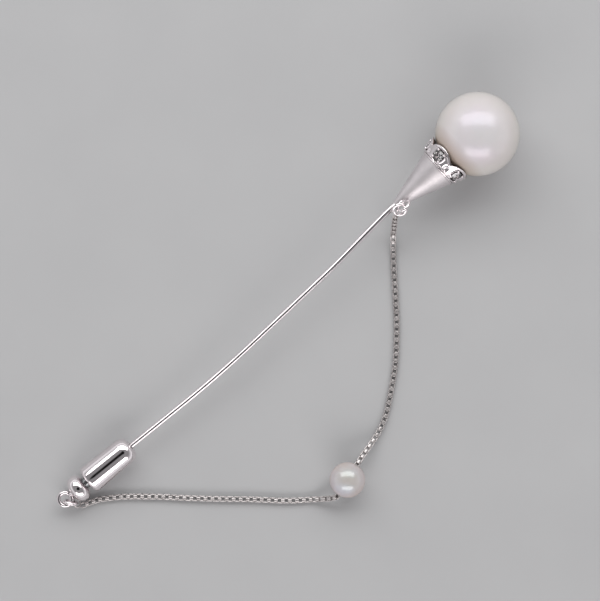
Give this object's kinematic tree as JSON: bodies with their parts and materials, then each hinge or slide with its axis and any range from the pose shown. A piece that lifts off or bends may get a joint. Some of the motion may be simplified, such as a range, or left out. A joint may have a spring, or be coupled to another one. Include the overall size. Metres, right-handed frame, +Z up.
{
  "type": "pearl stick pin",
  "caption": "Pearl stick pin: large pearl on a stone-set crown and cone, long bent wire, slide-on bullet clutch with knob, and a safety chain carrying a small pearl.",
  "frame": {"origin": "bottom centre of the pin's box without the chain, on the surface that it lies on", "axes": "+X along the pin towards the large pearl, +Z up from the surface, +Y away from the chain's side"},
  "size_m": [0.0832, 0.0323, 0.0117],
  "materials": {
    "white_pearl": "satin nacre",
    "rose_pearl": "lustrous nacre with a rose overtone",
    "polished_silver": "polished, rhodium-bright",
    "satin_silver": "satin",
    "chain_silver": "polished links with dark recesses",
    "clear_stone": "cut and polished",
    "spring_steel": "bright drawn wire"
  },
  "bodies": {
    "pin": {"large_pearl": "white_pearl", "pearl_cup": "satin_silver", "pearl_peg": "satin_silver", "crown_band": "polished_silver", "crown_stone_1": "clear_stone", "crown_stone_2": "clear_stone", "crown_stone_3": "clear_stone", "crown_stone_4": "clear_stone", "crown_stone_5": "clear_stone", "crown_beads": "polished_silver", "cone": "satin_silver", "pin_wire": "polished_silver", "cone_eye": "polished_silver"},
    "clutch": {"clutch_barrel": "polished_silver", "nose_bush": "satin_silver", "taper_sleeve": "satin_silver", "rear_bush": "satin_silver", "clutch_spring": "spring_steel"},
    "knob": {"knob": "polished_silver", "knob_loop": "polished_silver", "ball_cage": "satin_silver"},
    "ball_1": {"locking_ball_1": "spring_steel"},
    "ball_2": {"locking_ball_2": "spring_steel"},
    "ball_3": {"locking_ball_3": "spring_steel"},
    "upper_chain": {"chain_upper": "chain_silver", "upper_jump_ring": "polished_silver"},
    "small_pearl": {"small_pearl": "rose_pearl"},
    "lower_chain": {"chain_lower": "chain_silver", "chain_end_link": "chain_silver", "lower_jump_ring": "polished_silver"}
  },
  "joints": [
    {"name": "clutch_slide", "type": "slide", "parent": "pin", "child": "clutch", "axis": [-0.9976, 0.0454, -0.0523], "range_m": [0, 0.008]},
    {"name": "knob_pull", "type": "slide", "parent": "clutch", "child": "knob", "axis": [-0.9976, 0.0454, -0.0523], "range_m": [0, 0.0006], "stiffness_N_per_m": 400, "springref_m": -0.001, "deforming": ["clutch_spring"]},
    {"name": "ball_1_travel", "type": "slide", "parent": "knob", "child": "ball_1", "axis": [-0.0523, 0, 0.9986], "range_m": [0, 0.0001]},
    {"name": "ball_2_travel", "type": "slide", "parent": "knob", "child": "ball_2", "axis": [0.0654, 0.8651, -0.4973], "range_m": [0, 0.0001]},
    {"name": "ball_3_travel", "type": "slide", "parent": "knob", "child": "ball_3", "axis": [-0.0131, -0.8651, -0.5014], "range_m": [0, 0.0001]},
    {"name": "upper_chain_swing", "type": "hinge", "parent": "pin", "child": "upper_chain", "pos_m": [0.02154, -0.00065, 0.00653], "axis": [-0.0523, 0, 0.9986], "range_deg": [-10.5, 0]},
    {"name": "lower_chain_swing", "type": "hinge", "parent": "knob", "child": "lower_chain", "pos_m": [-0.04045, -0.00004, 0.00185], "axis": [-0.0523, 0, 0.9986], "range_deg": [0, 11.2]},
    {"name": "small_pearl_spin", "type": "hinge", "parent": "upper_chain", "child": "small_pearl", "pos_m": [-0.0093, -0.024, 0.0025], "axis": [0.9588, 0.284, 0], "continuous": true}
  ],
  "couplings": [
    {"joint": "ball_1_travel", "follows": "knob_pull", "ratio": 0.158},
    {"joint": "ball_2_travel", "follows": "knob_pull", "ratio": 0.158},
    {"joint": "ball_3_travel", "follows": "knob_pull", "ratio": 0.158},
    {"joint": "upper_chain_swing", "follows": "clutch_slide", "rad_per_m": -21.9},
    {"joint": "lower_chain_swing", "follows": "clutch_slide", "rad_per_m": 23.7}
  ]
}
